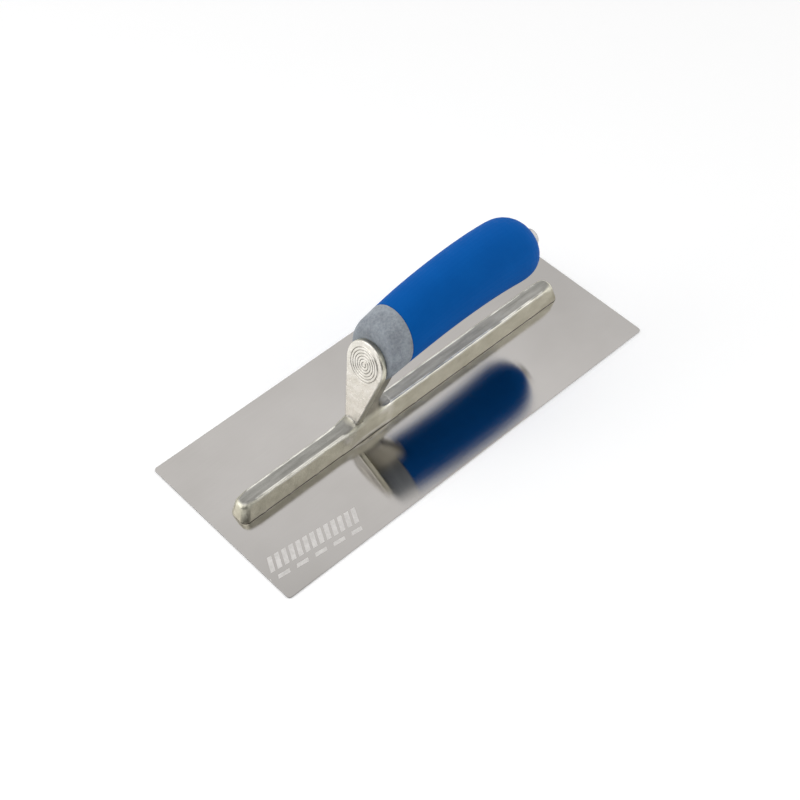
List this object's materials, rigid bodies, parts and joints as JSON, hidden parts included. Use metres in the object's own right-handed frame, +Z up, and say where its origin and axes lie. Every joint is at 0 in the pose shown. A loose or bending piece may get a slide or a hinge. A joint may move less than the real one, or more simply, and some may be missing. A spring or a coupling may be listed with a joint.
{
  "type": "steel finishing trowel",
  "caption": "Flat rectangular steel blade riveted under a long cast mounting bar, with a raised neck and an arched two-part handle for smoothing plaster and cement.",
  "frame": {"origin": "centre of the blade's flat underside", "axes": "+X along the blade towards the heel, the free end of the handle; +Y across the blade; +Z up from the blade to the handle"},
  "size_m": [0.28, 0.12, 0.0887],
  "materials": {
    "stainless_blade": "polished sheet",
    "cast_mounting": "as cast, thumb pad polished",
    "rivet_steel": "ground flush",
    "grey_plastic": "fine grained",
    "blue_rubber": "matte soft grip",
    "zinc_fixings": "bright zinc plate"
  },
  "bodies": {
    "root": {"blade": "stainless_blade", "mounting": "cast_mounting", "handle_core": "grey_plastic", "soft_grip": "blue_rubber", "tie_stud": "zinc_fixings", "washer": "zinc_fixings", "nut": "zinc_fixings", "rivet_01": "rivet_steel", "rivet_02": "rivet_steel", "rivet_03": "rivet_steel", "rivet_04": "rivet_steel", "rivet_05": "rivet_steel", "rivet_06": "rivet_steel", "rivet_07": "rivet_steel", "rivet_08": "rivet_steel", "rivet_09": "rivet_steel", "rivet_10": "rivet_steel"}
  },
  "joints": []
}
